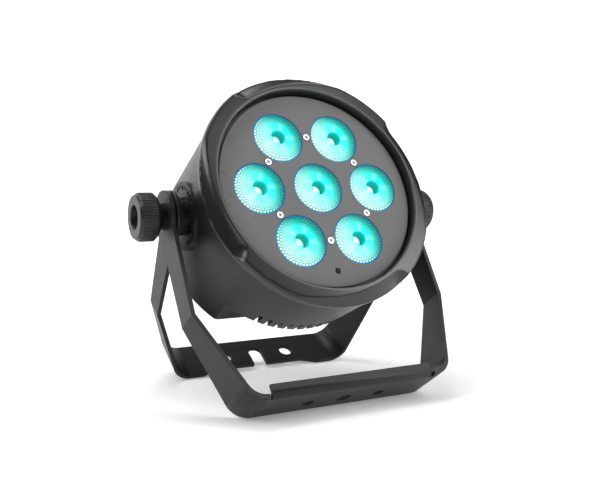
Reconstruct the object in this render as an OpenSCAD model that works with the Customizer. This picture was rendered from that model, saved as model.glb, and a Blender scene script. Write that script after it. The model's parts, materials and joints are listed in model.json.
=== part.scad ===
// Compact LED par can with a folding double floor bracket.
// Millimetres, +Z up. The origin is on the floor in the middle of the footprint,
// +X runs along the pivot axis and the lamp shines towards -Y.

/* [Rest pose] */
// Upward tilt of the lamp head in degrees
head_tilt = 26.3; // [-60:0.1:90]
// Height of the pivot axis above the floor
pivot_z = 131.5; // [125:0.5:140]
// Offset of the pivot axis from the middle of the footprint
pivot_y = 3.6; // [-20:0.01:20]

/* [Brackets] */
// Thickness of the bracket strip
strip_t = 3; // [2:0.5:4]
// Outer half width of the front bracket
front_half = 101.5; // [95:0.5:110]
// Distance from the pivot to the bend in the front arms
front_bend = 80.2; // [60:0.1:100]
// Half width of the front bar at its corners
front_corner = 76.5; // [60:0.5:90]
// Distance from the pivot to the outside of the front bar
front_reach = 145.0; // [135:0.1:155]
// Outer half width of the rear bracket
rear_half = 97.3; // [90:0.1:105]
// Distance from the pivot to the bend in the rear arms
rear_bend = 79; // [60:0.1:100]
// Half width of the rear bar at its corners
rear_corner = 74.3; // [60:0.1:90]
// Distance from the pivot to the outside of the rear bar
rear_reach = 140; // [130:0.1:150]
// Outside radius of the bar corners
corner_r = 16; // [10:0.5:20]
// Radius of the rounded ends at the pivot
eye_r = 18.4; // [14:0.1:22]
// Pitch of the mounting holes
hole_pitch = 28; // [20:0.5:35]
// Radius of the clamp bolt hole
bolt_r = 5.25; // [4:0.05:6]
// Radius of the side holes
side_hole_r = 4.5; // [3:0.1:6]
// Half length of the flange on the front bar
flange_half = 62.5; // [40:0.5:70]
// Height of the flange above the outside of the front bar
flange_h = 9.2; // [8:0.1:20]

/* [Head] */
// Distance from the pivot axis to the face plate
pivot_back = 44.9; // [35:0.1:60]
// Depth of the housing behind the face plate
head_depth = 99.5; // [80:0.5:120]
// Housing radius at the front
shell_r1 = 87.6; // [75:0.1:100]
// Housing radius at the back
shell_r2 = 84; // [70:0.1:95]
// Housing wall thickness
wall = 3; // [2:0.1:4]
// Distance from the axis to the flat under the back of the housing
flat_y = 62.3; // [58:0.1:72]
// Distance behind the face plate where that flat starts
step_z = 64.4; // [50:0.1:80]
// Face plate radius
plate_r = 74.6; // [65:0.1:80]
// Radius of the ring of lenses
ring_r = 46; // [40:0.5:50]
// Visible lens radius
lens_r = 19.1; // [15:0.1:21]
// Radius of the ring of face plate screws
screw_ring_r = 40.5; // [38:0.1:43]
// Number of vent slots under the back of the housing
vent_count = 11; // [5:1:15]
// Angle between vent slots in degrees
vent_pitch = 5.4; // [4:0.1:8]

/* [Bezel] */
// Bezel outer radius
bezel_r = 89.2; // [80:0.1:95]
// Height of the bezel rim above the face plate
rim_h = 6; // [3:0.1:9]
// Angle of the deepest point of the first scallop
scallop_deep = 117.5; // [90:0.5:130]
// Angle covered by one scallop
scallop_span = 62; // [40:1:70]

/* [Knobs] */
// Knob radius
knob_r = 17; // [12:0.5:22]
// Knob length
knob_len = 14.9; // [10:0.1:20]
// Distance from the middle to the outer face of the knob
knob_face = 122.4; // [110:0.1:130]
// Number of flutes
flutes = 44; // [20:1:60]
// Clamp screw shank radius
stud_r = 4; // [3:0.5:5]

/* [Back panel] */
// Half distance between the left and right connectors
conn_x = 24; // [20:0.5:30]
// Height of the data connectors
xlr_y = 2; // [-5:0.5:10]
// Height of the power connectors
iec_y = -32; // [-40:0.5:-25]
// Height of the row of buttons
button_y = 25; // [20:0.5:30]
// Distance between buttons
button_pitch = 14; // [10:0.5:20]

/* [Hidden] */
$fn = 96;
e = 0.5;
black = [0.1, 0.1, 0.11];
dark = [0.16, 0.16, 0.17];
grey = [0.42, 0.42, 0.43];
silver = [0.75, 0.75, 0.76];
gold = [0.8, 0.65, 0.3];
teal = [0.0, 0.85, 0.75];
green = [0.1, 0.35, 0.18];

// Strip widths behind and in front of the arm's line: at the pivot, the bend and the bar
front_w = [[-12.8, 12.8], [-13.3, 8.1], [-21.9, 14.2]];
rear_w = [[-14.4, 14.4], [-6.4, 12], [-13.4, 21]];
rear_relief = 16.4;
front_hole_w = -8.5;
rear_hole_w = 4;
flange_r = 5;

// Lean angles that put both bars on the floor
function lean(reach, w) = acos(pivot_z / norm([reach, w])) + atan(w / reach);
front_lean = lean(front_reach, -front_w[2][0]);
rear_lean = lean(rear_reach, rear_w[2][1]);

washer_t = 1;
pad_in = 80;
pad_x = 87.5;
boss_x = 91.8;
rear_inner = rear_half - strip_t;
knob_back = knob_face - knob_len;
collar_x = front_half + 1.3;
insert_x = 76;

z_tray = -2.05;
z_cups = -21;
z_board = -21.2;
z_pad = -22.8;
z_sink = -23.1;
z_ledge = -28.1;
z_fins = -52;
z_driver = -66;
z_cover = -94.5;
cover_t = 2.5;
leg_r = 79.8;
sink_r = 83;
fin_r = 66;
tray_screw_r = 66;
tray_screw_turn = 90;
lens_pos = concat([[0, 0]], [for (i = [0:5]) [ring_r * cos(60 * i), ring_r * sin(60 * i)]]);
cover_screws = [[63.5, 44.5], [-63.5, 44.5], [72.8, -26.5], [-72.8, -26.5], [24, 73.7], [-24, 73.7]];
post_pos = [[46, 30], [-46, 30], [46, -30], [-46, -30]];
button_x = [for (i = [0:3]) (i - 1.5) * button_pitch];

function shell_at(z) = shell_r1 + (shell_r2 - shell_r1) * (-z - 4.6) / (head_depth - 4.6);

// Turns a shape drawn with its own +Z forward and +Y up about the pivot axis
module about_pivot(angle) {
    translate([0, pivot_y, pivot_z])
        rotate([90 - angle, 0, 0])
            children();
}

// Head parts are drawn with the face plate at z = 0 and the lamp shining along +Z
module head_place() {
    about_pivot(head_tilt)
        translate([0, 0, pivot_back])
            children();
}

module both_sides() {
    for (s = [-1, 1])
        rotate([0, 90 * s, 0])
            children();
}

module disc(r, z1, z2) {
    translate([0, 0, z1])
        cylinder(h = z2 - z1, r = r);
}

module ring(r1, r2, z1, z2) {
    difference() {
        disc(r2, z1, z2);
        disc(r1, z1 - e, z2 + e);
    }
}

module block(x1, x2, y1, y2, z1, z2) {
    translate([x1, y1, z1])
        cube([x2 - x1, y2 - y1, z2 - z1]);
}

// ---- Brackets ----

// Half profile of the bent strip: solid outline of one closed side, offset inwards by t
function bend_pts(half, bend, corner, reach, t) =
    let (a = atan((half - corner) / (reach - bend)),
         k = t * tan(a / 2),
         c = t * tan((90 - a) / 2))
    [[half - t, -bend + k], [corner - c, -reach + t]];

module bracket_outline(half, bend, corner, reach, t, r) {
    p = bend_pts(half, bend, corner, reach, t);
    a = atan((half - corner) / (reach - bend));
    tl = r * tan((90 - a) / 2);
    u = [p[0][0] - p[1][0], p[0][1] - p[1][1]] / norm(p[0] - p[1]);
    q = p[1] + u * tl;
    c = [p[1][0] - tl, p[1][1] + r];
    polygon([[-half + t, 60], [half - t, 60], p[0], q, c, [c[0], p[1][1]],
        [-c[0], p[1][1]], [-c[0], c[1]], [-q[0], q[1]], [-p[0][0], p[0][1]]]);
    for (s = [-1, 1])
        translate([s * c[0], c[1]])
            circle(r = r);
}

module bracket_side(w, bend, reach) {
    rotate([0, -90, 0])
        linear_extrude(height = 300, center = true)
            polygon([[w[0][0], 0], [w[0][1], 0], [w[1][1], -bend],
                [w[2][1], -reach * 0.93], [w[2][1], -reach - 2],
                [w[2][0], -reach - 2], [w[2][0], -reach * 0.93], [w[1][0], -bend]]);
}

module bracket(half, bend, corner, reach, w) {
    difference() {
        union() {
            intersection() {
                translate([0, 0, -40])
                    linear_extrude(height = 80)
                        difference() {
                            bracket_outline(half, bend, corner, reach, 0, corner_r);
                            bracket_outline(half, bend, corner, reach, strip_t,
                                corner_r - strip_t);
                        }
                bracket_side(w, bend, reach);
            }
            both_sides()
                disc(eye_r, half - strip_t, half);
        }
        rotate([0, 90, 0])
            cylinder(h = 300, r = stud_r + 0.08, center = true);
    }
}

module bar_hole(x, w, r, reach) {
    translate([x, -reach + strip_t / 2, w])
        rotate([90, 0, 0])
            cylinder(h = 4 * strip_t, r = r, center = true);
}

module front_flange() {
    w = front_w[2][1];
    rotate([0, 90, 0])
        linear_extrude(height = 2 * flange_half, center = true)
            difference() {
                union() {
                    translate([-w, -front_reach + flange_r])
                        square([strip_t, flange_h - flange_r]);
                    translate([-w + flange_r, -front_reach + flange_r])
                        circle(r = flange_r);
                }
                translate([-w + flange_r, -front_reach + flange_r])
                    circle(r = flange_r - strip_t);
                translate([-w + flange_r, -front_reach])
                    square([2 * flange_r, 2 * flange_r]);
                translate([-w + strip_t, -front_reach + flange_r])
                    square([2 * flange_r, 2 * flange_r]);
            }
}

module front_yoke() {
    color(dark)
        about_pivot(front_lean)
            union() {
                difference() {
                    bracket(front_half, front_bend, front_corner, front_reach, front_w);
                    bar_hole(0, front_hole_w, bolt_r, front_reach);
                    for (s = [-1, 1])
                        bar_hole(s * hole_pitch, front_hole_w, side_hole_r, front_reach);
                    block(-flange_half, flange_half, -front_reach - e, -front_reach + 8,
                        front_w[2][1] - flange_r, 40);
                    for (s = [-1, 1])
                        block(s * (flange_half + 1) - 1, s * (flange_half + 1) + 1,
                            -front_reach - e, -front_reach + 8, front_w[2][1] - 4, 40);
                }
                front_flange();
            }
}

module rear_yoke() {
    relief = 52;
    color(dark)
        about_pivot(-rear_lean)
            difference() {
                bracket(rear_half, rear_bend, rear_corner, rear_reach, rear_w);
                for (s = [-1, 1])
                    bar_hole(s * hole_pitch, rear_hole_w, bolt_r, rear_reach);
                bar_hole(0, rear_hole_w - 1, bolt_r + 0.3, rear_reach);
                block(-bolt_r - 0.3, bolt_r + 0.3, -rear_reach - e, -rear_reach + 8,
                    rear_hole_w - 1, 40);
                translate([0, -rear_reach + 4, 0])
                    rotate([90, 0, 0])
                        linear_extrude(height = 8, center = true)
                            polygon([[-relief, rear_w[2][1]], [-relief + 14, rear_relief],
                                [relief - 14, rear_relief], [relief, rear_w[2][1]],
                                [relief, 40], [-relief, 40]]);
            }
}

module yoke_washers() {
    gap = front_half - strip_t - rear_half;
    color(black)
        about_pivot(front_lean)
            both_sides()
                ring(stud_r + 0.08, 15, rear_half + (gap - washer_t) / 2,
                    rear_half + (gap + washer_t) / 2);
}

module head_washers() {
    color(black)
        about_pivot(head_tilt)
            both_sides()
                ring(stud_r + 0.08, 15, boss_x, rear_inner - 0.1);
}

// ---- Knobs, drawn with the outer face towards +Z ----

module knob_shape() {
    difference() {
        union() {
            intersection() {
                translate([0, 0, knob_back])
                    linear_extrude(height = knob_len)
                        difference() {
                            circle(r = knob_r);
                            for (i = [0:flutes - 1])
                                rotate(i * 360 / flutes)
                                    translate([knob_r + 0.25, 0])
                                        circle(r = 0.85, $fn = 24);
                        }
                union() {
                    translate([0, 0, knob_back])
                        cylinder(h = 2.5, r1 = knob_r - 2.5, r2 = knob_r);
                    disc(knob_r + e, knob_back + 2.5, knob_face - 3);
                    translate([0, 0, knob_face - 3])
                        cylinder(h = 3, r1 = knob_r, r2 = knob_r - 2);
                }
            }
            disc(8.85, collar_x, knob_back + e);
        }
        disc(8.6, knob_face - 8, knob_face + e);
        disc(6.6, knob_back + 1.5, knob_face);
        disc(stud_r + 0.02, collar_x - e, knob_face);
    }
}

module knob(s) {
    color(black)
        about_pivot(head_tilt)
            rotate([0, 90 * s, 0])
                knob_shape();
}

module clamp_screw(s) {
    color(dark)
        about_pivot(head_tilt)
            rotate([0, 90 * s, 0])
                difference() {
                    union() {
                        disc(stud_r, insert_x + 2, knob_back + 1.5 + e);
                        disc(6.5, knob_back + 1.5, knob_back + 8.5);
                    }
                    translate([0, 0, knob_back + 4.5])
                        cylinder(h = 5, r = 3.5, $fn = 6);
                }
}

module knob_washer(s) {
    color(silver)
        about_pivot(head_tilt)
            rotate([0, 90 * s, 0])
                ring(stud_r + 0.08, 9.5, front_half + 0.05, collar_x);
}

// ---- Head shell ----

module shell_solid(t) {
    difference() {
        union() {
            translate([0, 0, -head_depth + 3])
                cylinder(h = head_depth - 7.6, r1 = shell_at(-head_depth + 3) - t, r2 = shell_r1 - t);
            translate([0, 0, -head_depth])
                cylinder(h = 3, r1 = shell_r2 - 2.4 - t, r2 = shell_at(-head_depth + 3) - t);
        }
        block(-100, 100, -100, -flat_y + t, -head_depth - 1, -step_z + t);
    }
}

module vents() {
    for (i = [0:vent_count - 1])
        rotate(270 + (i - (vent_count - 1) / 2) * vent_pitch)
            block(79, 90, -1.5, 1.5, -step_z - 1, -52);
}

// Angle scale: raised ticks on the front half of each pivot pad
module scale_ticks() {
    for (a = [-90:10:90])
        rotate(a)
            block(a % 30 == 0 ? 18.6 : 19.8, 21.6, -0.35, 0.35, pad_x - e, pad_x + 0.4);
}

module housing() {
    color(dark)
        head_place()
            difference() {
                union() {
                    difference() {
                        shell_solid(0);
                        difference() {
                            shell_solid(wall);
                            ring(74, 95, z_ledge - 4, z_ledge);
                            difference() {
                                disc(95, z_cover, z_cover + 3);
                                intersection() {
                                    disc(74, z_cover - 1, z_cover + 4);
                                    block(-90, 90, -51, 90, z_cover - 1, z_cover + 4);
                                }
                            }
                        }
                        disc(shell_r1 - wall, -6, 0);
                        intersection() {
                            disc(80.9, -head_depth - 1, z_cover);
                            block(-90, 90, -flat_y + wall, 90, -head_depth - 1, z_cover);
                        }
                    }
                    translate([0, 0, -pivot_back])
                        both_sides() {
                            disc(24.5, pad_in, pad_x);
                            disc(13.5, 74, boss_x);
                        }
                    translate([0, 0, -pivot_back]) {
                        rotate([0, 90, 0])
                            rotate(180)
                                scale_ticks();
                        rotate([0, -90, 0])
                            scale_ticks();
                    }
                }
                vents();
                translate([0, 0, -pivot_back])
                    both_sides()
                        disc(7, 60, 100);
                for (i = [0:3])
                    rotate(45 + 90 * i)
                        translate([leg_r, 0])
                            disc(1.6, z_ledge - 5, z_ledge + 1);
                for (p = cover_screws)
                    translate(p)
                        disc(1.5, z_cover - 1, z_cover + 4);
            }
}

module thread_inserts() {
    color(gold)
        head_place()
            translate([0, 0, -pivot_back])
                both_sides()
                    ring(stud_r + 0.05, 6.98, insert_x, boss_x - 0.4);
}

// One hollow in the rim: a shallow scoop with a sloping floor, and a round pocket at its deep end
module bezel_cutter() {
    foot = -0.4;
    rise = rim_h + 0.6;
    axis_shift = 26;
    floor_r = axis_shift + 79.9;
    flare = 8.7;
    pocket_r = 12.4;
    pocket_side = 4.5;
    reach = 140;
    lead = 6.8;
    skin = 0.01;
    rotate(scallop_deep)
        translate([0, 0, foot]) {
            difference() {
                linear_extrude(height = rise)
                    polygon([[0, 0], [reach, lead],
                        [reach * cos(scallop_span), -reach * sin(scallop_span)]]);
                translate([-axis_shift, 0, -skin])
                    rotate_extrude()
                        polygon([[0, 0], [floor_r + flare, 0], [floor_r + 0.62 * flare, 1.5],
                            [floor_r + 0.32 * flare, 3.1], [floor_r + 0.13 * flare, 4.8],
                            [floor_r, rise + 2 * skin], [0, rise + 2 * skin]]);
            }
            translate([floor_r - axis_shift + pocket_r, pocket_side, 0])
                cylinder(h = rise, r1 = pocket_r - flare, r2 = pocket_r);
        }
}

module bezel() {
    color(dark)
        head_place() {
            difference() {
                rotate_extrude()
                    polygon([[76.8, -3.2], [76.8, rim_h - 1.2], [77.2, rim_h - 0.3],
                        [78.2, rim_h], [79.4, rim_h - 0.1], [87.8, rim_h - 1.2],
                        [88.8, rim_h - 1.9], [bezel_r, rim_h - 3], [bezel_r, -2.4],
                        [88.4, -3.2], [83.6, -3.2], [83.6, -8], [77.2, -8], [77.2, -3.2]]);
                for (i = [0:3])
                    rotate(90 * i)
                        bezel_cutter();
                for (i = [0:3])
                    rotate(45 + 90 * i)
                        translate([leg_r, 0])
                            disc(1.47, -12, -3);
            }
            for (i = [0:3])
                rotate(45 + 90 * i)
                    translate([leg_r, 0])
                        ring(1.47, 2.8, z_sink, -4);
        }
}

module bezel_seal() {
    color(black)
        head_place()
            ring(shell_r1 - wall + 0.1, shell_r1 - 0.9, -4.5, -3.25);
}

module face_plate() {
    color(grey)
        head_place()
            difference() {
                disc(plate_r, -2, 0);
                for (p = lens_pos)
                    translate(p)
                        disc(lens_r + 0.2, -3, 1);
                for (i = [0:5])
                    rotate(30 + 60 * i)
                        translate([screw_ring_r, 0]) {
                            disc(1.6, -3, 1);
                            disc(2.9, -1, 1);
                        }
                translate([0, -63])
                    disc(2.3, -3, 1);
            }
}

module cross_recess(z, r) {
    translate([-r, -0.35, z - 1.2])
        cube([2 * r, 0.7, 2]);
    translate([-0.35, -r, z - 1.2])
        cube([0.7, 2 * r, 2]);
}

module pan_screw(head_r, z_seat, head_h, shank_r, z_end) {
    difference() {
        union() {
            disc(shank_r, z_end, z_seat + 0.1);
            disc(head_r, z_seat, z_seat + head_h);
        }
        cross_recess(z_seat + head_h, head_r * 0.62);
    }
}

module plate_screws() {
    color(silver)
        head_place()
            for (i = [0:5])
                rotate(30 + 60 * i)
                    translate([screw_ring_r, 0])
                        rotate(15 + 25 * i)
                            pan_screw(2.5, -1, 1.3, 1.45, -12);
}

// Collimator lens with a deep well in front and a cavity for the emitter behind
module lens(i) {
    color(teal)
        head_place()
            translate(lens_pos[i - 1])
                difference() {
                    rotate_extrude()
                        polygon([[0, -14.4], [0, -9.2], [1.6, -9.5], [3.1, -10.4], [3.9, -11.6],
                            [5.0, -11.6], [5.3, -0.2], [5.9, 0.5], [10, 0.3], [14.5, -0.15], [18.5, -0.8],
                            [lens_r, -1.3],
                            [lens_r, -2.3], [20.8, -2.3], [20.8, -4.2], [19.4, -4.2],
                            [16.4, -9], [12.4, -14], [8.6, -17.8], [6.4, -19.8], [4.6, -19.8],
                            [4.2, -15.4], [2.6, -14.6]]);
                }
}

module optic_tray() {
    color(black)
        head_place()
            difference() {
                union() {
                    disc(76.4, -6, z_tray);
                    for (p = lens_pos)
                        translate(p)
                            disc(21.9, z_cups, -5);
                    for (i = [0:5])
                        rotate(30 + 60 * i)
                            translate([screw_ring_r, 0])
                                disc(3, -14, -5);
                    for (i = [0:2])
                        rotate(tray_screw_turn + 120 * i)
                            translate([tray_screw_r, 0])
                                disc(3.6, z_board, -5);
                }
                for (p = lens_pos)
                    translate(p) {
                        disc(21, -4.2, 0);
                        disc(20.9, z_cups + 1, 0);
                        disc(7.4, z_cups - 1, 0);
                    }
                for (i = [0:5])
                    rotate(30 + 60 * i)
                        translate([screw_ring_r, 0])
                            disc(1.47, -13, 0);
                for (i = [0:2])
                    rotate(tray_screw_turn + 120 * i)
                        translate([tray_screw_r, 0]) {
                            disc(1.6, z_board - 1, 0);
                            disc(3.2, -5, 0);
                        }
                translate([0, -63])
                    disc(2.7, -7, 0);
            }
}

module tray_screws() {
    color(silver)
        head_place()
            for (i = [0:2])
                rotate(tray_screw_turn + 120 * i)
                    translate([tray_screw_r, 0])
                        pan_screw(2.8, -5, 2.4, 1.45, z_ledge + 0.6);
}

module emitters() {
    color([0.9, 0.85, 0.5])
        head_place()
            for (p = lens_pos)
                translate(p) {
                    block(-2.6, 2.6, -2.6, 2.6, z_board, z_board + 1);
                    difference() {
                        translate([0, 0, z_board + 1])
                            sphere(r = 2.2, $fn = 48);
                        disc(4, z_board - 3, z_board + 0.9);
                    }
                }
}

module led_board() {
    color([0.9, 0.9, 0.88])
        head_place()
            difference() {
                disc(70, z_pad, z_board);
                for (i = [0:2])
                    rotate(tray_screw_turn + 120 * i)
                        translate([tray_screw_r, 0])
                            disc(1.7, z_pad - 1, z_board + 1);
            }
}

module thermal_pad() {
    color([0.55, 0.6, 0.65])
        head_place()
            difference() {
                disc(69, z_sink, z_pad);
                for (i = [0:2])
                    rotate(tray_screw_turn + 120 * i)
                        translate([tray_screw_r, 0])
                            disc(1.9, z_sink - 1, z_pad + 1);
                translate([49.5, 0])
                    disc(3, z_sink - 1, z_pad + 1);
            }
}

module heat_sink() {
    color(silver)
        head_place()
            difference() {
                union() {
                    intersection() {
                        disc(sink_r, z_ledge, z_sink);
                        block(-pad_in + 0.3, pad_in - 0.3, -sink_r, sink_r, z_ledge, z_sink);
                    }
                    for (i = [-6:6]) {
                        x = 9 * i;
                        y = sqrt(fin_r * fin_r - x * x);
                        block(x - 1, x + 1, -y, y, z_fins, z_ledge + 0.5);
                    }
                }
                for (i = [0:2])
                    rotate(tray_screw_turn + 120 * i)
                        translate([tray_screw_r, 0])
                            disc(1.47, z_ledge - 1, z_sink + 1);
                for (i = [0:3])
                    rotate(45 + 90 * i)
                        translate([leg_r, 0])
                            disc(1.6, z_ledge - 1, z_sink + 1);
                translate([49.5, 0])
                    disc(3, z_ledge - 1, z_sink + 1);
            }
}

module bezel_screws() {
    color(silver)
        head_place()
            for (i = [0:3])
                rotate(45 + 90 * i)
                    translate([leg_r, 0, 0])
                        rotate([180, 0, 0])
                            pan_screw(2.7, -z_ledge + 4, 2, 1.45, 13);
}

module ir_sensor() {
    color([0.12, 0.05, 0.08])
        head_place()
            translate([0, -63]) {
                disc(2.6, -6, -2.1);
                disc(1.9, -2.2, -1.2);
                difference() {
                    translate([0, 0, -1.9])
                        sphere(r = 1.9, $fn = 48);
                    disc(3, -5, -1.3);
                }
            }
}

// ---- Electronics ----

module driver_board() {
    color(green)
        head_place()
            difference() {
                block(-52, 52, -36, 36, z_driver - 1.6, z_driver);
                for (p = post_pos)
                    translate(p)
                        disc(1.5, z_driver - 3, z_driver + 1);
            }
}

module driver_parts() {
    color(dark)
        head_place()
            translate([0, 0, z_driver]) {
                block(-42, -18, 8, 30, 0, 11);
                for (y = [-24, -10])
                    translate([-34, y])
                        disc(5, 0, 11.5);
                block(-8, 8, -30, -14, 0, 8);
                block(0, 12, 6, 18, 0, 2);
                for (x = [22, 34])
                    translate([x, 24])
                        disc(4, 0, 10);
                block(20, 36, -28, -22, 0, 9);
            }
}

module board_posts() {
    color(gold)
        head_place()
            for (p = post_pos)
                translate(p)
                    ring(1.25, 2.75, z_cover, z_driver - 1.6);
}

module wiring() {
    color(dark)
        head_place() {
            for (y = [-1.3, 1.3])
                translate([48.3, y])
                    disc(0.9, z_driver, z_pad);
            for (x = [-7, 0, 7])
                translate([-conn_x + x, iec_y + (x == 0 ? 4 : -4)])
                    disc(0.9, -72.4, z_driver - 1.6);
            for (x = [-3, 0, 3], s = [-1, 1])
                translate([s * conn_x + x, xlr_y])
                    disc(0.6, -74, z_driver - 1.6);
        }
}

// ---- Back panel ----

module rear_cover() {
    color(dark)
        head_place()
            difference() {
                intersection() {
                    disc(80.6, z_cover - cover_t, z_cover);
                    block(-90, 90, -flat_y + wall + 0.3, 90, z_cover - 5, z_cover + 1);
                }
                for (p = cover_screws)
                    translate(p)
                        disc(1.6, z_cover - 5, z_cover + 1);
                for (s = [-1, 1])
                    translate([s * conn_x, xlr_y])
                        disc(11.6, z_cover - 5, z_cover + 1);
                block(-conn_x - 14.1, -conn_x + 14.1, iec_y - 17.6, iec_y + 17.6,
                    z_cover - 5, z_cover + 1);
                block(conn_x - 14.1, conn_x + 14.1, iec_y - 10.6, iec_y + 10.6,
                    z_cover - 5, z_cover + 1);
                block(-27, 27, 37, 57, z_cover - 5, z_cover + 1);
                for (x = button_x)
                    translate([x, button_y])
                        disc(3.8, z_cover - 5, z_cover + 1);
                for (x = [-9, 9])
                    translate([x, 69])
                        disc(2.05, z_cover - 5, z_cover + 1);
            }
}

module cover_screws() {
    color(dark)
        head_place()
            for (p = cover_screws)
                translate(p)
                    rotate([180, 0, 0])
                        pan_screw(2.7, -z_cover + cover_t, 1.8, 1.45, -z_cover - 2.9);
}

module power_inlet() {
    color(black)
        head_place()
            translate([-conn_x, iec_y, 0])
                difference() {
                    union() {
                        block(-14, 14, -17.5, 17.5, z_cover - 1, -72.5);
                        block(-15.6, 15.6, -19, 19, z_cover - cover_t - 2.5, z_cover - cover_t);
                        block(-14, 14, -17.5, 17.5, z_cover - cover_t - 1, z_cover);
                    }
                    block(-12, 12, -7, 9, -101, -80);
                    block(-9.1, 9.1, 9.9, 16.6, -101, -76);
                    for (x = [-7, 0, 7])
                        block(x - 1, x + 1, (x == 0 ? 3 : -3) - 2, (x == 0 ? 3 : -3) + 2, -90, -74);
                }
}

module inlet_pins() {
    color(silver)
        head_place()
            translate([-conn_x, iec_y, 0])
                for (x = [-7, 0, 7]) {
                    y = x == 0 ? 3 : -3;
                    block(x - 1, x + 1, y - 2, y + 2, z_cover - cover_t - 0.5, -74);
                }
}

module fuse_drawer() {
    color(black)
        head_place()
            translate([-conn_x, iec_y, 0])
                difference() {
                    union() {
                        block(-9, 9, 10, 16.5, z_cover - cover_t - 2.4, -77);
                        block(-9, 9, 10, 16.5, z_cover - cover_t - 3.6, z_cover - cover_t - 2);
                    }
                    translate([0, 13.25, 0])
                        block(-3, 3, -2.75, 2.75, -94, -76);
                    block(-3, 3, 9, 10.8, -100.7, -99);
                }
}

module fuse() {
    color(silver)
        head_place()
            translate([-conn_x, iec_y + 13.25, 0])
                disc(2.5, -93.9, -78);
}

module power_outlet() {
    color(black)
        head_place()
            translate([conn_x, iec_y, 0])
                difference() {
                    union() {
                        block(-14, 14, -10.5, 10.5, z_cover - 1, -76);
                        block(-15.6, 15.6, -12.5, 12.5, z_cover - cover_t - 2.5, z_cover - cover_t);
                        block(-14, 14, -10.5, 10.5, z_cover - cover_t - 1, z_cover);
                    }
                    difference() {
                        block(-12.6, 12.6, -8.6, 8.6, -101, -80);
                        block(-11, 11, -7, 7, -102, -79);
                    }
                    for (x = [-7, 0, 7])
                        block(x - 1.3, x + 1.3, (x == 0 ? 3 : -3) - 2.4, (x == 0 ? 3 : -3) + 2.4, -110, -78);
                }
}

module outlet_contacts() {
    color(gold)
        head_place()
            translate([conn_x, iec_y, 0])
                for (x = [-7, 0, 7]) {
                    y = x == 0 ? 3 : -3;
                    block(x - 1.2, x + 1.2, y - 2.3, y + 2.3, -82, -78);
                }
}

module xlr_shell() {
    disc(11.5, z_cover - cover_t, -76);
    block(-13, 13, -13, 13, z_cover - cover_t - 2, z_cover - cover_t);
}

module dmx_in() {
    color(black)
        head_place()
            translate([-conn_x, xlr_y, 0])
                difference() {
                    xlr_shell();
                    disc(9.6, -110, -80);
                    for (a = [90, 210, 330])
                        rotate(a)
                            translate([4.8, 0])
                                disc(1.2, -81, -75);
                }
}

module dmx_in_pins() {
    color(silver)
        head_place()
            translate([-conn_x, xlr_y, 0])
                for (a = [90, 210, 330])
                    rotate(a)
                        translate([4.8, 0])
                            disc(1.2, -95, -76);
}

module dmx_out() {
    color(black)
        head_place()
            translate([conn_x, xlr_y, 0])
                difference() {
                    xlr_shell();
                    difference() {
                        disc(9.6, -110, -80);
                        disc(7.9, -111, -79);
                    }
                    for (a = [30, 150, 270])
                        rotate(a)
                            translate([4.8, 0])
                                disc(1.35, -110, -82);
                    block(-2.9, 2.9, 9.2, 12.2, -101, -88);
                }
}

module dmx_out_latch() {
    color(silver)
        head_place()
            translate([conn_x, xlr_y, 0])
                block(-2.6, 2.6, 9.4, 11.2, z_cover - cover_t - 3.4, -90);
}

module display_window() {
    color([0.08, 0.1, 0.12])
        head_place()
            union() {
                block(-26.8, 26.8, 37.2, 56.8, z_cover - cover_t - 0.4, z_cover - 0.5);
                block(-29, 29, 35, 59, z_cover - cover_t - 1.2, z_cover - cover_t);
            }
}

module display_board() {
    color(green)
        head_place() {
            block(-29, 29, 18, 60, -90.6, -89);
            block(-24, 24, 38, 56, -93.4, -90.6);
            for (x = button_x)
                block(x - 3, x + 3, button_y - 3, button_y + 3, -92, -90.6);
        }
}

module button(i) {
    color(dark)
        head_place()
            translate([button_x[i - 1], button_y, 0]) {
                disc(3.5, z_cover - cover_t - 1.8, -93.2);
                disc(4.6, -94.2, -93.2);
            }
}

module safety_eye() {
    color(silver)
        head_place()
            translate([0, 69, z_cover - cover_t]) {
                rotate([-90, 0, 0])
                    rotate_extrude(angle = 180)
                        translate([9, 0])
                            circle(r = 2, $fn = 32);
                for (x = [-9, 9])
                    translate([x, 0])
                        disc(2, 0, 7);
            }
}

front_yoke();
rear_yoke();
yoke_washers();
head_washers();
knob(-1);  // knob_left
knob(1);  // knob_right
knob_washer(-1);  // knob_washer_left
knob_washer(1);  // knob_washer_right
clamp_screw(-1);  // clamp_screw_left
clamp_screw(1);  // clamp_screw_right
housing();
thread_inserts();
bezel();
bezel_seal();
face_plate();
plate_screws();
lens(1);  // lens_1
lens(2);  // lens_2
lens(3);  // lens_3
lens(4);  // lens_4
lens(5);  // lens_5
lens(6);  // lens_6
lens(7);  // lens_7
optic_tray();
tray_screws();
emitters();
led_board();
thermal_pad();
heat_sink();
bezel_screws();
ir_sensor();
driver_board();
driver_parts();
board_posts();
wiring();
rear_cover();
cover_screws();
power_inlet();
inlet_pins();
fuse_drawer();
fuse();
power_outlet();
outlet_contacts();
dmx_in();
dmx_in_pins();
dmx_out();
dmx_out_latch();
display_window();
display_board();
button(1);  // button_1
button(2);  // button_2
button(3);  // button_3
button(4);  // button_4
safety_eye();
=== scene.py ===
import json
import math

import bpy
from mathutils import Matrix, Vector


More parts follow.
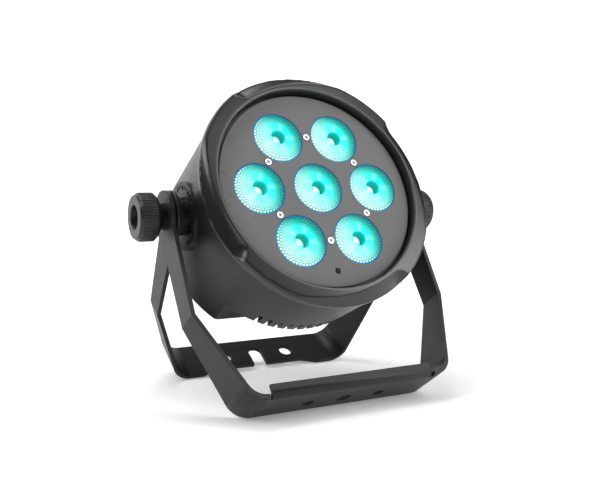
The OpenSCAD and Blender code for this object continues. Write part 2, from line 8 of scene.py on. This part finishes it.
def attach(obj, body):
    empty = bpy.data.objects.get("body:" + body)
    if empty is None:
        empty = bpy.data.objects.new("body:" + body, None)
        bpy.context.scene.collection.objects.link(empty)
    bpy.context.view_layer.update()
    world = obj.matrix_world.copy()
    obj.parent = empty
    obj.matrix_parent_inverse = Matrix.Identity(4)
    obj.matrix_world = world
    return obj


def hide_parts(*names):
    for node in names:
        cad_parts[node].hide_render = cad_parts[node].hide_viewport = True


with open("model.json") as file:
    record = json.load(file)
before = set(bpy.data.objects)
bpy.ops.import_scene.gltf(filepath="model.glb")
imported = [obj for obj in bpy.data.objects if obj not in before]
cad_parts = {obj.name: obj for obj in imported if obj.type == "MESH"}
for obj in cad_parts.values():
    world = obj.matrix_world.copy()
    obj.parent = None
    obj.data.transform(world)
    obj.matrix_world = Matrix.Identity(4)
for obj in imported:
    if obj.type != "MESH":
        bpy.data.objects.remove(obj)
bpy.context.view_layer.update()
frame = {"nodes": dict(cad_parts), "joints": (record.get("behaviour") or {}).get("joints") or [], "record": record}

MM = 0.001
JOINTS = {joint["name"]: joint for joint in frame["joints"]}
NODES = frame["nodes"]

# The head's own frame: +Z along the light, +Y up its face, origin on the face plate's front
PIVOT = Vector(JOINTS["head_tilt"]["pos_m"])
LIGHT_AXIS = Vector(JOINTS["button_1_press"]["axis"]).normalized()
FACE_UP = LIGHT_AXIS.cross(Vector((1, 0, 0))).normalized()
# Distance from the pivot to the front of the face plate
FACE_AHEAD = 44.9 * MM
FACE_CENTRE = PIVOT + FACE_AHEAD * LIGHT_AXIS
FACE = Matrix.Translation(FACE_CENTRE) @ Matrix((
    (1, FACE_UP.x, LIGHT_AXIS.x),
    (0, FACE_UP.y, LIGHT_AXIS.y),
    (0, FACE_UP.z, LIGHT_AXIS.z),
)).to_4x4()

# Lenses
RING_R = 46 * MM
LENS_R = 19.0 * MM
RECESS_R = 5.3 * MM
DIMPLE_ROWS = 7
DIMPLES_ROUND = 44
DIMPLE_H = 0.35 * MM
STEPS_PER_DIMPLE = 5
# Small turns of the lit pattern from lens to lens, in degrees
LENS_SPINS = (0, 8, -6, 5, -9, 12, -4)


def mesh_piece(name, points, faces, material):
    """A smooth-shaded mesh object with one material, added to the scene."""
    mesh = bpy.data.meshes.new(name)
    mesh.from_pydata(points, [], faces)
    for polygon in mesh.polygons:
        polygon.use_smooth = True
    mesh.materials.append(material)
    piece = bpy.data.objects.new(name, mesh)
    bpy.context.scene.collection.objects.link(piece)
    return piece


# ---- Materials ----

class Shader:
    """A node material with one Principled shader and short calls for the usual nodes."""

    def __init__(self, name):
        self.material = bpy.data.materials.new(name)
        self.material.use_nodes = True
        self.tree = self.material.node_tree
        self.bsdf = self.tree.nodes["Principled BSDF"]
        self.place = self.node("ShaderNodeTexCoord").outputs["Object"]

    def node(self, kind, **settings):
        made = self.tree.nodes.new(kind)
        for key, value in settings.items():
            setattr(made, key, value)
        return made

    def link(self, source, target):
        self.tree.links.new(source, target)

    def set(self, **values):
        for key, value in values.items():
            self.bsdf.inputs[key.replace("_", " ")].default_value = value

    def noise(self, scale, detail=3.0, rough=0.55):
        made = self.node("ShaderNodeTexNoise")
        made.inputs["Scale"].default_value = scale
        made.inputs["Detail"].default_value = detail
        made.inputs["Roughness"].default_value = rough
        self.link(self.place, made.inputs["Vector"])
        return made.outputs["Fac"]

    def spread(self, source, low, high, start=0.3, end=0.7):
        made = self.node("ShaderNodeMapRange")
        for key, value in (("From Min", start), ("From Max", end), ("To Min", low), ("To Max", high)):
            made.inputs[key].default_value = value
        self.link(source, made.inputs["Value"])
        return made.outputs["Result"]

    def blend(self, fac, first, second):
        made = self.node("ShaderNodeMix", data_type="RGBA")
        self.link(fac, made.inputs["Factor"])
        made.inputs["A"].default_value = (*first, 1)
        made.inputs["B"].default_value = (*second, 1)
        return made.outputs["Result"]

    # Painted shade: ambient occlusion, low in hollows and recesses, used to darken a colour there
    def recess_shade(self, reach):
        made = self.node("ShaderNodeAmbientOcclusion", samples=8)
        made.inputs["Distance"].default_value = reach
        return made.outputs["AO"]

    def bump(self, height, strength, depth, edge=0.0):
        made = self.node("ShaderNodeBump")
        made.inputs["Strength"].default_value = strength
        made.inputs["Distance"].default_value = depth
        self.link(height, made.inputs["Height"])
        if edge:
            rounded = self.node("ShaderNodeBevel", samples=16)
            rounded.inputs["Radius"].default_value = edge
            self.link(rounded.outputs["Normal"], made.inputs["Normal"])
        self.link(made.outputs["Normal"], self.bsdf.inputs["Normal"])


GRAIN_DEPTH = 0.03 * MM
SCRATCH_DEPTH = 0.04 * MM
GLOSS_SPREAD = 0.02
# How far the painted shade in metal recesses reaches
SHADE_REACH = 1.2 * MM


def tint(color, factor):
    return tuple(min(1.0, channel * factor) for channel in color)


def coated(name, color, rough, grain=1800, strength=0.12, cloud=0.07, shine=0.5, edge=0.0):
    """Moulded plastic or sprayed paint: soft colour clouds, uneven gloss and a fine grain."""
    shader = Shader(name)
    shader.set(Specular_IOR_Level=shine)
    clouds = shader.noise(38, 4.0)
    color_out = shader.blend(clouds, tint(color, 1 - cloud), tint(color, 1 + cloud))
    shader.link(color_out, shader.bsdf.inputs["Base Color"])
    gloss = shader.spread(shader.noise(120), rough - GLOSS_SPREAD, rough + GLOSS_SPREAD)
    shader.link(gloss, shader.bsdf.inputs["Roughness"])
    shader.bump(shader.noise(grain, 2.0), strength, GRAIN_DEPTH, edge)
    return shader.material


def metal(name, color, rough, scratch=900):
    """Bare metal: fine scratches, an uneven gloss and painted shade that darkens its recesses."""
    shader = Shader(name)
    shader.set(Metallic=1.0)
    # Painted shade: the colour falls to a twentieth of itself in recesses and hollows
    unshaded_share = shader.spread(shader.recess_shade(SHADE_REACH), 0, 1, 0.35, 0.95)
    shader.link(shader.blend(unshaded_share, tint(color, 0.05), color), shader.bsdf.inputs["Base Color"])
    stretch = shader.node("ShaderNodeMapping")
    stretch.inputs["Scale"].default_value = (1, 0.08, 1)
    shader.link(shader.place, stretch.inputs["Vector"])
    lines = shader.node("ShaderNodeTexNoise")
    lines.inputs["Scale"].default_value = scratch
    shader.link(stretch.outputs["Vector"], lines.inputs["Vector"])
    gloss = shader.spread(lines.outputs["Fac"], rough - 0.07, rough + 0.1)
    shader.link(gloss, shader.bsdf.inputs["Roughness"])
    shader.bump(lines.outputs["Fac"], 0.1, SCRATCH_DEPTH)
    return shader.material


def clear(name, color, rough, see_through):
    """Glass or smoked plastic with a few faint smears."""
    shader = Shader(name)
    shader.set(Base_Color=(*color, 1), IOR=1.49, Transmission_Weight=see_through)
    shader.link(shader.spread(shader.noise(60, 5.0), rough, rough + 0.08), shader.bsdf.inputs["Roughness"])
    shader.bump(shader.noise(500), 0.03, GRAIN_DEPTH)
    return shader.material


def lens_glow(name):
    """The lit lens: its colour comes from the mesh's glow layer, the lamp's glow with painted highlight and
    painted shade, under a glossy clear skin.
    """
    shader = Shader(name)
    shader.set(Emission_Strength=0.75, Specular_IOR_Level=0.2)
    glow = shader.node("ShaderNodeAttribute", attribute_name="glow")
    shader.link(glow.outputs["Color"], shader.bsdf.inputs["Emission Color"])
    shader.link(glow.outputs["Color"], shader.bsdf.inputs["Base Color"])
    shader.link(shader.spread(shader.noise(400), 0.1, 0.2), shader.bsdf.inputs["Roughness"])
    shader.bump(shader.noise(900), 0.04, GRAIN_DEPTH)
    return shader.material


def lit(name, color, strength):
    """A lit chip: a bright face with a slight grain."""
    shader = Shader(name)
    shader.set(Emission_Strength=strength, Roughness=0.3)
    for dimmest, socket in ((0.8, "Emission Color"), (0.5, "Base Color")):
        shader.link(shader.blend(shader.noise(700), tint(color, dimmest), color), shader.bsdf.inputs[socket])
    return shader.material


SLOT_MATERIALS = {
    "bracket_paint": coated("bracket_paint", (0.018, 0.018, 0.019), 0.40, grain=1500, shine=0.25),
    "housing_shell": coated("housing_shell", (0.009, 0.009, 0.010), 0.36, grain=1300, shine=0.3,
        edge=0.4 * MM),
    "bezel_shell": coated("bezel_shell", (0.012, 0.012, 0.013), 0.3, grain=700, strength=0.02,
        cloud=0.04, shine=0.6),
    "plate_paint": coated("plate_paint", (0.165, 0.165, 0.167), 0.8, grain=2600, strength=0.1,
        cloud=0.02, shine=0.3),
    "lens_clear": lens_glow("lens_clear"),
    "emitter": lit("emitter", (0.2, 1.0, 0.95), 2.0),
    "black_plastic": coated("black_plastic", (0.012, 0.012, 0.013), 0.5),
    "knob_plastic": coated("knob_plastic", (0.012, 0.012, 0.013), 0.36, grain=1500, shine=0.4),
    "black_steel": metal("black_steel", (0.06, 0.06, 0.065), 0.42),
    "bright_steel": metal("bright_steel", (0.5, 0.49, 0.48), 0.34),
    "nylon": coated("nylon", (0.018, 0.018, 0.018), 0.45),
    "rubber_black": coated("rubber_black", (0.012, 0.012, 0.012), 0.75, strength=0.25),
    "brass_parts": metal("brass_parts", (0.75, 0.56, 0.24), 0.3),
    "board_white": coated("board_white", (0.75, 0.75, 0.72), 0.4, cloud=0.03),
    "pad_grey": coated("pad_grey", (0.35, 0.4, 0.45), 0.8, cloud=0.06),
    "sink_aluminium": metal("sink_aluminium", (0.7, 0.7, 0.71), 0.4),
    "sensor_dark": clear("sensor_dark", (0.03, 0.01, 0.012), 0.08, 0.2),
    "board_green": coated("board_green", (0.015, 0.09, 0.035), 0.35, cloud=0.2),
    "component_black": coated("component_black", (0.02, 0.02, 0.022), 0.5),
    "wire_cover": coated("wire_cover", (0.3, 0.02, 0.015), 0.45),
    "cover_paint": coated("cover_paint", (0.030, 0.030, 0.032), 0.5, grain=1400, strength=0.2),
    "fuse_glass": clear("fuse_glass", (0.85, 0.9, 0.9), 0.05, 0.9),
    "display_dark": clear("display_dark", (0.008, 0.01, 0.012), 0.06, 0.0),
    "button_plastic": coated("button_plastic", (0.07, 0.07, 0.074), 0.55),
}
NODE_SLOTS = {part["node"]: part["material_slot"] for part in frame["record"]["subparts"]}

WELD_WITHIN = 0.001 * MM
SHARP_ANGLE = math.radians(35)
# How far each node's sharp edges are rounded
EDGE_ROUND = {
    "front_yoke": 0.5 * MM, "rear_yoke": 0.5 * MM,
    "knob_left": 0.3 * MM, "knob_right": 0.3 * MM, "face_plate": 0.15 * MM, "rear_cover": 0.3 * MM,
    "power_inlet": 0.3 * MM, "power_outlet": 0.3 * MM, "dmx_in": 0.25 * MM, "dmx_out": 0.25 * MM,
    "display_window": 0.3 * MM, "fuse_drawer": 0.25 * MM,
}


def round_edges(obj, width):
    """Joins the mesh's split corners and rounds its sharp edges, as modifiers on the unchanged mesh."""
    weld = obj.modifiers.new("join", "WELD")
    weld.merge_threshold = WELD_WITHIN
    bevel = obj.modifiers.new("round", "BEVEL")
    bevel.width = width
    bevel.segments = 2
    bevel.limit_method = "ANGLE"
    bevel.angle_limit = SHARP_ANGLE
    bevel.use_clamp_overlap = True
    bevel.harden_normals = True


def dress_cad():
    """Gives every CAD node the material of its slot, and rounds the edges that show."""
    for name, obj in NODES.items():
        obj.data.materials.clear()
        obj.data.materials.append(SLOT_MATERIALS[NODE_SLOTS[name]])
    for name, width in EDGE_ROUND.items():
        round_edges(NODES[name], width)


# ---- Lenses ----

GLOW_BASE = Vector((0.0, 0.84, 0.72))
GLOW_WHITE = Vector((0.95, 1.0, 1.0))
GLOW_DARK = Vector((0.0, 0.03, 0.03))
GLOW_BLUE = Vector((0.01, 0.16, 0.60))
# Side of each lens where a painted highlight whitens the dimples; painted shade darkens the far side
HIGHLIGHT_SIDE = math.radians(215)
DOME_TOP = 0.55 * MM
DOME_FALL = 1.35 * MM
RAYS = 5
RAY_GLOW = 0.35
HIGHLIGHT_DOTS = 1.4
GAP_SHADE = 1.2
SHADE_DOTS = 2.2
DARKEST = 0.97


def dome(r):
    """Height of the lens face over the plate's front, r from the lens axis."""
    share = (r - RECESS_R) / (LENS_R - RECESS_R)
    return DOME_TOP - DOME_FALL * share ** 2


def face_glow(r, angle, facet, spin):
    """Colour of a lit face point: the lamp's glow, with white dimples on one side as a painted highlight and dark
    ones far out on the other as painted shade.
    """
    share = max(0.0, (r - RECESS_R) / (LENS_R - RECESS_R))
    side = 0.5 + 0.5 * math.cos(angle - HIGHLIGHT_SIDE - spin)
    ray = (0.5 + 0.5 * math.cos(RAYS * angle + 3 * spin)) ** 4
    # Painted highlight on one side over the lamp's own glow; painted shade in the gaps and on the far dimples
    pale = side ** 1.5 * (0.2 + 0.8 * share) + RAY_GLOW * ray * (1 - share)
    dark = (1 - side) ** 2 * share ** 1.5
    color = GLOW_BASE.lerp(GLOW_WHITE, min(1.0, pale * (0.02 + HIGHLIGHT_DOTS * facet)))
    color = color.lerp(GLOW_BASE * 0.3, min(1.0, GAP_SHADE * (1 - facet) * share))
    return color.lerp(GLOW_DARK, min(DARKEST, SHADE_DOTS * dark * facet))


def lens_rings(spin):
    """The lens from its rim to its middle: lists of (radius, height, colour) round each ring."""
    around = DIMPLES_ROUND * STEPS_PER_DIMPLE
    angles = [2 * math.pi * k / around for k in range(around)]
    rim = [(LENS_R + 0.1 * MM, -2.2 * MM), (LENS_R + 0.1 * MM, -1.05 * MM),
        (LENS_R - 0.25 * MM, dome(LENS_R) - 0.02 * MM)]
    rings = [[(r, z, GLOW_BLUE) for _ in angles] for r, z in rim]
    face_edge = LENS_R - 0.55 * MM
    steps = DIMPLE_ROWS * STEPS_PER_DIMPLE
    for k in range(steps + 1):
        share = k / steps
        r = face_edge + (RECESS_R + 0.5 * MM - face_edge) * share
        row, within = divmod(k, STEPS_PER_DIMPLE)
        across = math.sin(math.pi * within / STEPS_PER_DIMPLE)
        ring = []
        for angle in angles:
            turn = DIMPLES_ROUND * angle + (math.pi if row % 2 else 0)
            facet = min(1.0, 1.5 * across * (0.5 + 0.5 * math.cos(turn)))
            fade = min(1.0, (r - RECESS_R) / (6 * MM))
            ring.append((r, dome(r) + DIMPLE_H * facet * fade, face_glow(r, angle, facet, spin)))
        rings.append(ring)
    return rings + recess_rings(angles)


def recess_rings(angles):
    """The lip, the deep bore and the small bead at its foot, with painted shade on the bore's wall and the bead's
    foot.
    """
    rings = []
    # Painted shade: the bore's wall glows at about a third of the face, dimmer further down, and the bead dims at
    # its foot
    wall = GLOW_BASE * 0.34
    bead = GLOW_BASE.lerp(GLOW_WHITE, 0.35)
    profile = [(5.45, 0.45, GLOW_BASE * 0.9), (5.2, 0.1, wall * 1.6), (5.05, -1.5, wall),
        (4.95, -5.0, wall * 0.9), (4.9, -6.8, wall * 0.8), (4.5, -6.9, bead * 0.6),
        (4.2, -6.2, bead * 0.8), (3.4, -5.2, bead), (2.3, -4.5, bead), (1.1, -4.1, GLOW_WHITE),
        (0.3, -4.05, GLOW_WHITE)]
    for r, z, color in profile:
        rings.append([(r * MM, z * MM, color) for _ in angles])
    return rings


def build_lens(name, centre, spin):
    """One lens: a domed face of staggered dimples round a deep recess."""
    rings = lens_rings(spin)
    around = len(rings[0])
    points = []
    colors = []
    for ring in rings:
        for k, (r, z, color) in enumerate(ring):
            angle = 2 * math.pi * k / around
            points.append((r * math.cos(angle), r * math.sin(angle), z))
            colors.append((*color, 1))
    faces = []
    for row in range(len(rings) - 1):
        for k in range(around):
            a = row * around + k
            b = row * around + (k + 1) % around
            faces.append((a, b, b + around, a + around))
    last = len(rings) - 1
    faces.append(tuple(last * around + k for k in range(around)))
    lens = mesh_piece(name, points, faces, SLOT_MATERIALS["lens_clear"])
    layer = lens.data.color_attributes.new("glow", "FLOAT_COLOR", "POINT")
    for k, color in enumerate(colors):
        layer.data[k].color = color
    lens.matrix_world = FACE @ Matrix.Translation(centre)
    return lens


def build_lenses():
    """One lens in the middle and six round it, each standing for its CAD node."""
    centres = [Vector((0, 0, 0))]
    for k in range(6):
        angle = math.radians(60 * k)
        centres.append(RING_R * Vector((math.cos(angle), math.sin(angle), 0)))
    for number, centre in enumerate(centres, 1):
        lens = build_lens(f"lens_face_{number}", centre, math.radians(LENS_SPINS[number - 1]))
        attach(lens, "head")
        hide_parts(f"lens_{number}")


# ---- Bezel ----

# In millimetres, in the head's own frame
BEZEL_R = 89.2
FACE_EDGE_R = 87.8
FACE_START_R = 78.9
FACE_START_Z = 5.96
FACE_SLOPE = 0.131
CORNER_Z = 3.0
FOOT_Z = -0.4
SCOOP_DEEP = 117.5
SCOOP_SPAN = 62
SCOOPS = 4
# A scoop's quarter of the ring starts this far before its deep end
BEFORE_DEEP = 78
SCOOP_SHIFT = 26.0
SCOOP_R = SCOOP_SHIFT + 79.9
SCOOP_RISE = 6.6
SCOOP_FLARE = 8.7
FLARE_POWER = 1.8
POCKET_R = 12.4
POCKET_TURN = 2.79
POCKET_AWAY = 92.32
BEZEL_STEPS = 1080
FACE_STEPS = 6
FALL_STEPS = 14
FALL_POWER = 1.3
CREST_ROUND = 0.2
# Steps that settle where the sloped face meets the scoop
CREST_TRIES = 5
INNER_LIP = [(76.8, -3.2), (76.8, 4.7), (76.95, 5.3), (77.3, 5.75), (77.75, 5.97), (78.3, 6.0)]
BACK = [(BEZEL_R, FOOT_Z - 0.4), (BEZEL_R, -2.4), (88.9, -3.0), (88.4, -3.2), (83.6, -3.2),
    (83.6, -8), (77.2, -8), (77.2, -3.2)]
POST_AWAY = 79.8
POST = [(1.47, -23.1), (1.47, -4), (2.8, -4), (2.8, -23.1)]
POST_SIDES = 32
BEZEL_SHARP = math.radians(42)


def face_z(r):
    """Height of the bezel's sloped face."""
    return FACE_START_Z - FACE_SLOPE * (r - FACE_START_R)


def outer_r(z):
    """Radius of the bezel's outer side, rounded at the top."""
    if z <= CORNER_Z:
        return BEZEL_R
    share = (z - CORNER_Z) / (face_z(FACE_EDGE_R) - CORNER_Z)
    return FACE_EDGE_R + (BEZEL_R - FACE_EDGE_R) * math.sqrt(max(0.0, 1 - share ** 2))


def scoop_wall(turn, z):
    """Radius of a scoop's wall, turn degrees past the scoop's deep end."""
    flare = SCOOP_FLARE * max(0.0, 1 - (z - FOOT_Z) / SCOOP_RISE) ** FLARE_POWER
    if -SCOOP_SPAN <= turn <= POCKET_TURN:
        angle = math.radians(turn)
        aside = SCOOP_SHIFT * math.sin(angle)
        return math.sqrt((SCOOP_R + flare) ** 2 - aside ** 2) - SCOOP_SHIFT * math.cos(angle)
    angle = math.radians(turn) - math.radians(POCKET_TURN)
    aside = POCKET_AWAY * math.sin(angle)
    pocket = POCKET_R - flare
    if turn > POCKET_TURN and aside < pocket:
        return POCKET_AWAY * math.cos(angle) - math.sqrt(pocket ** 2 - aside ** 2)
    return math.inf


def bezel_column(angle):
    """The bezel's closed section at an angle in degrees: up the inside, out over the face and back."""
    turn = (angle - SCOOP_DEEP + BEFORE_DEEP) % (360 / SCOOPS) - BEFORE_DEEP
    crest = FACE_EDGE_R
    for _ in range(CREST_TRIES):
        crest = min(FACE_EDGE_R, scoop_wall(turn, face_z(crest)))
    top = face_z(crest)
    section = list(INNER_LIP)
    for k in range(FACE_STEPS):
        r = FACE_START_R + (crest - CREST_ROUND - FACE_START_R) * k / (FACE_STEPS - 1)
        section.append((r, face_z(r)))
    for k in range(1, FALL_STEPS + 1):
        z = top + (FOOT_Z - top) * (k / FALL_STEPS) ** FALL_POWER
        section.append((min(scoop_wall(turn, z), outer_r(z)), z))
    foot = section[-1][0]
    section.append(((foot + BEZEL_R) / 2, FOOT_Z - 0.04))
    section.append((max(foot, BEZEL_R - 0.3), FOOT_Z - 0.1))
    return section + BACK


def add_ring(points, faces, centre, columns):
    """Adds a closed ring of closed sections, each a list of (radius, height), round a centre."""
    start, around, length = len(points), len(columns), len(columns[0])
    for i, column in enumerate(columns):
        angle = 2 * math.pi * i / around
        for r, z in column:
            across, up = centre.x + r * math.cos(angle), centre.y + r * math.sin(angle)
            points.append((across * MM, up * MM, z * MM))
    for i in range(around):
        a = start + i * length
        b = start + (i + 1) % around * length
        for j in range(length):
            k = (j + 1) % length
            faces.append((a + j, a + k, b + k, b + j))


def build_bezel():
    """The front ring with four long scoops, and the four screw posts behind it."""
    points = []
    faces = []
    columns = [bezel_column(360 * i / BEZEL_STEPS) for i in range(BEZEL_STEPS)]
    add_ring(points, faces, Vector((0, 0)), columns)
    for k in range(4):
        angle = math.radians(45 + 90 * k)
        centre = POST_AWAY * Vector((math.cos(angle), math.sin(angle)))
        add_ring(points, faces, centre, [POST] * POST_SIDES)
    bezel = mesh_piece("bezel_ring", points, faces, SLOT_MATERIALS["bezel_shell"])
    bezel.data.set_sharp_from_angle(angle=BEZEL_SHARP)
    bezel.matrix_world = FACE
    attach(bezel, "head")
    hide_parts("bezel")


# ---- Stage ----

# Painted light on the floor: its glow near the lamp and far from it, and the distances between which it grows
FLOOR_PAINTED_LIGHT = (0.18, 0.85)
GLOW_REACH = (0.35, 2.0)
SURROUND = 0.05
# Each light's name, place, width and height, and power
LIGHTS = (
    ("top_box", (-0.3, 0.4, 2.0), (1.2, 1.2), 20),
    ("key_box", (-1.6, -0.2, 1.5), (0.5, 1.0), 14),
    ("right_strip", (1.4, -0.9, 0.45), (0.12, 0.9), 5),
    ("face_box", (0.8, -0.9, 1.35), (1.0, 1.0), 11),
    ("low_box", (1.05, -1.15, 0.78), (0.4, 0.5), 5),
)
LIT_POINT = Vector((0, 0, 0.12))
CAMERA_FROM_PIVOT = Vector((-0.2849, -0.5390, 0.0274))
CAMERA_LOOK = Vector((0.4743, 0.8758, -0.0900))
CAMERA_LENS = 48.3
CAMERA_SENSOR = 36


def build_floor():
    """A wide pale floor that rises far behind the lamp in one smooth sweep, with painted light that grows away
    from the lamp.
    """
    near, far, side, sweep, top, steps = -3.0, 2.2, 5.0, 1.6, 5.0, 24
    outline = [(near, 0.0)]
    for k in range(steps + 1):
        angle = math.pi / 2 * k / steps
        outline.append((far + sweep * math.sin(angle), sweep * (1 - math.cos(angle))))
    outline.append((far + sweep, top))
    points = []
    for along, height in outline:
        points.extend([(-side, along, height), (side, along, height)])
    faces = [(2 * k, 2 * k + 1, 2 * k + 3, 2 * k + 2) for k in range(len(outline) - 1)]
    shader = Shader("floor_paper")
    shader.set(Roughness=0.9, Specular_IOR_Level=0.1, Emission_Color=(1, 1, 1, 1))
    # Painted light: the floor glows, weaker near the lamp and stronger far from it
    distance = shader.node("ShaderNodeVectorMath", operation="LENGTH")
    shader.link(shader.place, distance.inputs[0])
    glow = shader.spread(distance.outputs["Value"], *FLOOR_PAINTED_LIGHT, *GLOW_REACH)
    shader.link(glow, shader.bsdf.inputs["Emission Strength"])
    shader.link(shader.blend(shader.noise(3), (0.95, 0.95, 0.95), (0.97, 0.97, 0.97)),
        shader.bsdf.inputs["Base Color"])
    mesh_piece("floor", points, faces, shader.material)


def build_lights():
    """A big soft box overhead, a key on the upper left, a strip on the right and two face boxes."""
    for name, place, size, power in LIGHTS:
        data = bpy.data.lights.new(name, "AREA")
        data.shape = "RECTANGLE"
        data.size, data.size_y = size
        data.energy = power
        light = bpy.data.objects.new(name, data)
        bpy.context.scene.collection.objects.link(light)
        light.location = place
        light.rotation_euler = (LIT_POINT - Vector(place)).to_track_quat("-Z", "Y").to_euler()


def build_world():
    """A soft dim surround that shows as plain pale paper past the floor's edge."""
    world = bpy.data.worlds.new("studio")
    bpy.context.scene.world = world
    world.use_nodes = True
    tree = world.node_tree
    seen = tree.nodes.new("ShaderNodeMapRange")
    seen.inputs["To Min"].default_value = SURROUND
    seen.inputs["To Max"].default_value = 1.0
    path = tree.nodes.new("ShaderNodeLightPath")
    tree.links.new(path.outputs["Is Camera Ray"], seen.inputs["Value"])
    back = tree.nodes["Background"]
    back.inputs["Color"].default_value = (1, 1, 1, 1)
    tree.links.new(seen.outputs["Result"], back.inputs["Strength"])


def build_camera():
    """Low and to the lamp's right side, looking slightly down."""
    data = bpy.data.cameras.new("camera")
    data.lens = CAMERA_LENS
    data.sensor_width = CAMERA_SENSOR
    camera = bpy.data.objects.new("camera", data)
    bpy.context.scene.collection.objects.link(camera)
    camera.location = PIVOT + CAMERA_FROM_PIVOT
    camera.rotation_euler = CAMERA_LOOK.to_track_quat("-Z", "Y").to_euler()
    bpy.context.scene.camera = camera


build_camera()
dress_cad()
build_lenses()
build_bezel()
build_floor()
build_lights()
build_world()
bpy.context.scene.view_settings.view_transform = "Standard"
